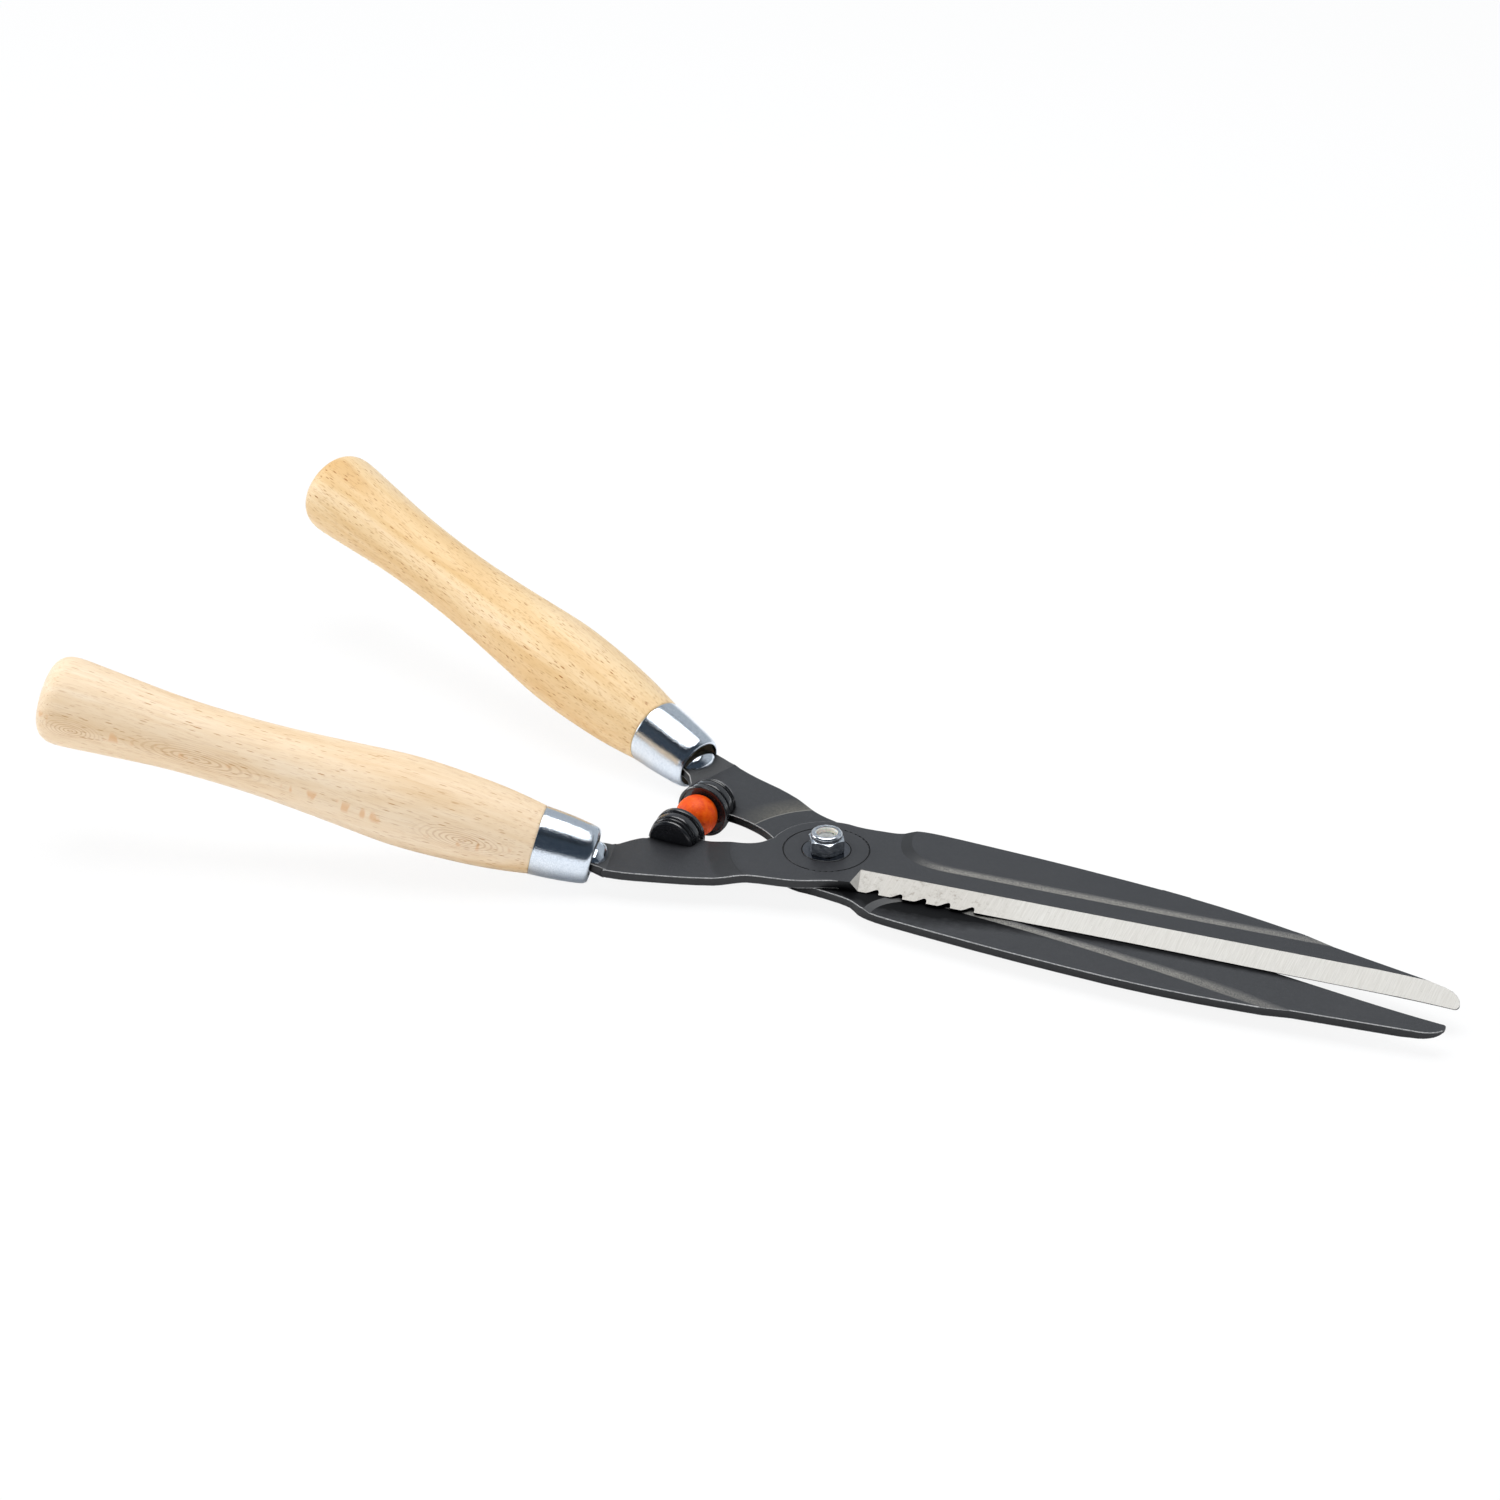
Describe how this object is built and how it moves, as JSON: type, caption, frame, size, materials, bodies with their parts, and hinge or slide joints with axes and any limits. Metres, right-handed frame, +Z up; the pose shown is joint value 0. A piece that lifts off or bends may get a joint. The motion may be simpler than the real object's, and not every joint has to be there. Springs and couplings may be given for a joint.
{
  "type": "hedge shears",
  "caption": "Hand hedge shears: two straight steel blades on a bolt pivot, cranked arms, turned wooden handles with chrome ferrules, and a ball buffer between the arms.",
  "frame": {"origin": "on the pivot axis, at the flat underside of the pivot bolt's head, which the shears rest on", "axes": "+X forward along the blades to the tips, +Y to the user's left, +Z up along the pivot axis from bolt head to nut"},
  "size_m": [0.551, 0.2454, 0.0778],
  "materials": {
    "blade_steel": "satin dark grey coating on the stamped plate, ground bright along the cutting bevel",
    "zinc_hardware": "bright zinc plating",
    "nylon": "natural nylon",
    "beech": "clear satin varnish on beech",
    "chrome": "polished chrome plate",
    "black_plastic": "semi-gloss black moulding",
    "orange_rubber": "satin orange rubber"
  },
  "bodies": {
    "left_half": {"lower_blade": "blade_steel", "pivot_bolt": "zinc_hardware", "pivot_nut": "zinc_hardware", "nut_locking_ring": "nylon", "pivot_washer": "zinc_hardware", "left_handle_grip": "beech", "left_ferrule": "chrome", "left_tang_collar": "chrome", "left_buffer_cup": "black_plastic", "buffer_ball": "orange_rubber"},
    "right_half": {"upper_blade": "blade_steel", "right_handle_grip": "beech", "right_ferrule": "chrome", "right_tang_collar": "chrome", "right_buffer_cup": "black_plastic"}
  },
  "joints": [
    {"name": "blade_pivot", "type": "hinge", "parent": "left_half", "child": "right_half", "pos_m": [0, 0, 0.01015], "axis": [0, 0, 1], "range_deg": [-4, 50]}
  ]
}
